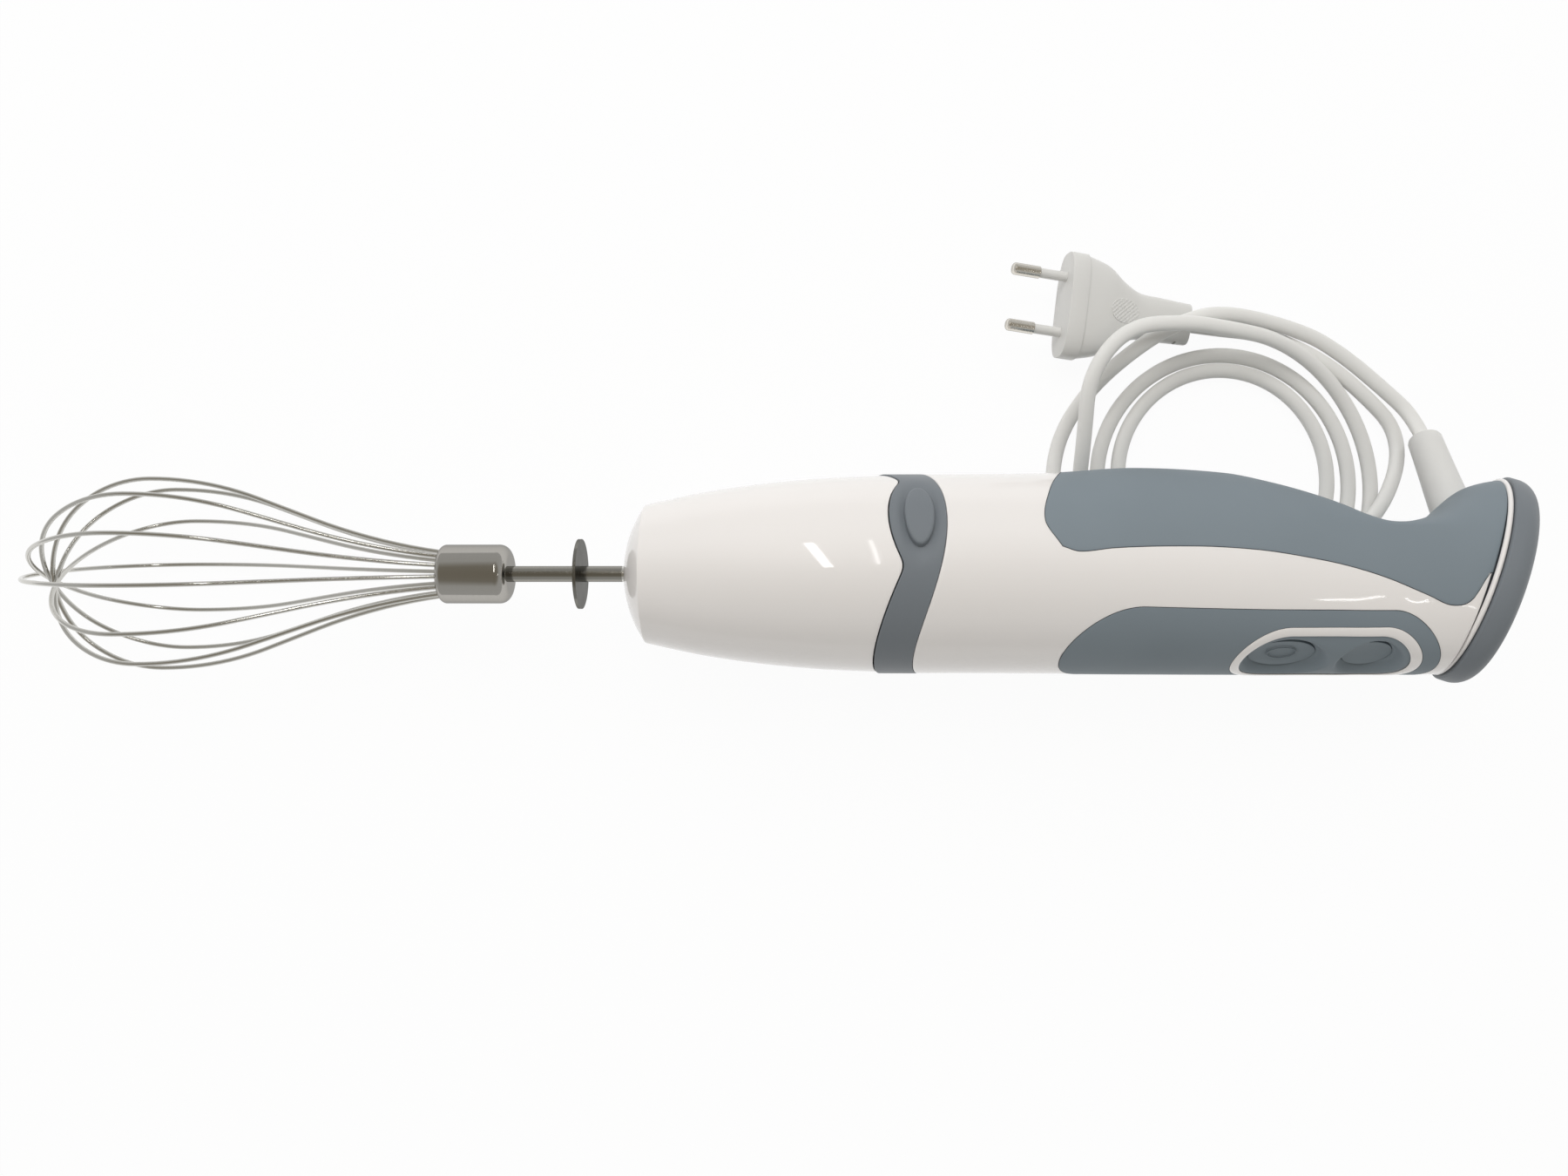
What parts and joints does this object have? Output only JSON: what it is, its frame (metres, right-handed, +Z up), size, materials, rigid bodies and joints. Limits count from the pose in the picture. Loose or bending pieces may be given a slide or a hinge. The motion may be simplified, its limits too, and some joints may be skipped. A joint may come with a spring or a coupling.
{
  "type": "hand mixer",
  "caption": "White and grey stick mixer with a balloon whisk attachment, lying on its own coiled flat mains lead.",
  "frame": {"origin": "under the middle of the device, on the table it lies on", "axes": "+X along the device towards its end cap, +Z up, +Y towards the side where the lead is coiled"},
  "size_m": [0.4696, 0.1408, 0.0715],
  "materials": {
    "white_plastic": "glossy",
    "soft_grip": "matte",
    "grey_plastic": "satin",
    "cord_white": "satin",
    "plug_white": "satin",
    "nickel": "polished",
    "inner_plastic": "satin",
    "steel": "satin",
    "copper": "satin",
    "bearing_bronze": "satin",
    "carbon": "matte",
    "rubber": "matte",
    "board": "satin",
    "stainless": "polished",
    "chrome": "polished"
  },
  "bodies": {
    "motor_unit": {"motor_housing": "white_plastic", "handle_grip": "soft_grip", "front_panel": "soft_grip", "button_bezel": "white_plastic", "button_pad": "soft_grip", "end_cap": "grey_plastic", "cap_bead": "white_plastic", "coupling_ring": "grey_plastic", "coupling_plate": "inner_plastic", "cord_sleeve": "cord_white", "cord_clamp": "inner_plastic", "clamp_screws": "steel", "motor_stator": "steel", "field_coils": "copper", "front_bridge": "inner_plastic", "rear_bridge": "inner_plastic", "motor_bearings": "bearing_bronze", "motor_mounts": "rubber", "motor_screws": "steel", "brush_holders": "inner_plastic", "carbon_brushes": "carbon", "circuit_board": "board", "micro_switches": "inner_plastic", "board_brackets": "inner_plastic", "cord_lead": "cord_white", "cord_coil": "cord_white", "cord_tail": "cord_white", "plug_body": "plug_white", "plug_pins": "nickel", "plug_pin_sleeves": "plug_white"},
    "rotor": {"motor_shaft": "steel", "armature_core": "steel", "commutator": "copper", "cooling_fan": "inner_plastic", "drive_coupling": "inner_plastic"},
    "attachment": {"gearbox_housing": "white_plastic", "gearbox_cover": "inner_plastic", "output_bush": "bearing_bronze", "input_bearing": "bearing_bronze", "ring_gear": "inner_plastic"},
    "input": {"input_shaft": "steel"},
    "carrier": {"planet_carrier": "steel", "planet_pins": "steel"},
    "planet_1": {"planet_gear_1": "inner_plastic"},
    "planet_2": {"planet_gear_2": "inner_plastic"},
    "planet_3": {"planet_gear_3": "inner_plastic"},
    "whisk": {"whisk_shaft": "stainless", "whisk_drive_end": "stainless", "splash_disc": "stainless", "whisk_ferrule": "chrome", "whisk_wire_1": "stainless", "whisk_wire_2": "stainless", "whisk_wire_3": "stainless", "whisk_wire_4": "stainless", "whisk_wire_5": "stainless", "whisk_wire_6": "stainless"},
    "speed": {"speed_button": "soft_grip"},
    "turbo": {"turbo_button": "soft_grip"},
    "release_left": {"release_button_left": "grey_plastic"},
    "release_right": {"release_button_right": "grey_plastic"}
  },
  "joints": [
    {"name": "attachment_pull", "type": "slide", "parent": "motor_unit", "child": "attachment", "axis": [-0.9997, 0, -0.0227], "range_m": [0, 0.04]},
    {"name": "whisk_spin", "type": "hinge", "parent": "attachment", "child": "carrier", "pos_m": [0.00316, 0.00064, 0.03517], "axis": [0.9997, 0, 0.0227], "continuous": true},
    {"name": "motor_spin", "type": "hinge", "parent": "motor_unit", "child": "rotor", "pos_m": [0.09314, 0.00064, 0.03721], "axis": [0.9997, 0, 0.0227], "continuous": true},
    {"name": "input_spin", "type": "hinge", "parent": "attachment", "child": "input", "pos_m": [0.02116, 0.00064, 0.03558], "axis": [0.9997, 0, 0.0227], "continuous": true},
    {"name": "planet_1_spin", "type": "hinge", "parent": "carrier", "child": "planet_1", "pos_m": [0.00782, 0.01109, 0.02823], "axis": [0.9997, 0, 0.0227], "continuous": true},
    {"name": "planet_2_spin", "type": "hinge", "parent": "carrier", "child": "planet_2", "pos_m": [0.00738, 0.00152, 0.04784], "axis": [0.9997, 0, 0.0227], "continuous": true},
    {"name": "planet_3_spin", "type": "hinge", "parent": "carrier", "child": "planet_3", "pos_m": [0.00779, -0.01068, 0.02975], "axis": [0.9997, 0, 0.0227], "continuous": true},
    {"name": "whisk_pull", "type": "slide", "parent": "carrier", "child": "whisk", "axis": [-0.9997, 0, -0.0227], "range_m": [0, 0.036]},
    {"name": "speed_press", "type": "slide", "parent": "motor_unit", "child": "speed", "axis": [0.0127, 0.829, -0.559], "range_m": [0, 0.0015], "stiffness_N_per_m": 900, "springref_m": -0.0006},
    {"name": "turbo_press", "type": "slide", "parent": "motor_unit", "child": "turbo", "axis": [0.0127, 0.829, -0.559], "range_m": [0, 0.0015], "stiffness_N_per_m": 900, "springref_m": -0.0006},
    {"name": "release_left_press", "type": "slide", "parent": "motor_unit", "child": "release_left", "axis": [0.0188, -0.5592, -0.8288], "range_m": [0, 0.002], "stiffness_N_per_m": 1500, "springref_m": -0.001},
    {"name": "release_right_press", "type": "slide", "parent": "motor_unit", "child": "release_right", "axis": [-0.0188, 0.5592, 0.8288], "range_m": [0, 0.002], "stiffness_N_per_m": 1500, "springref_m": -0.001}
  ],
  "couplings": [
    {"joint": "motor_spin", "follows": "whisk_spin", "ratio": 6},
    {"joint": "input_spin", "follows": "whisk_spin", "ratio": 6},
    {"joint": "planet_1_spin", "follows": "whisk_spin", "ratio": -2.5},
    {"joint": "planet_2_spin", "follows": "whisk_spin", "ratio": -2.5},
    {"joint": "planet_3_spin", "follows": "whisk_spin", "ratio": -2.5}
  ]
}
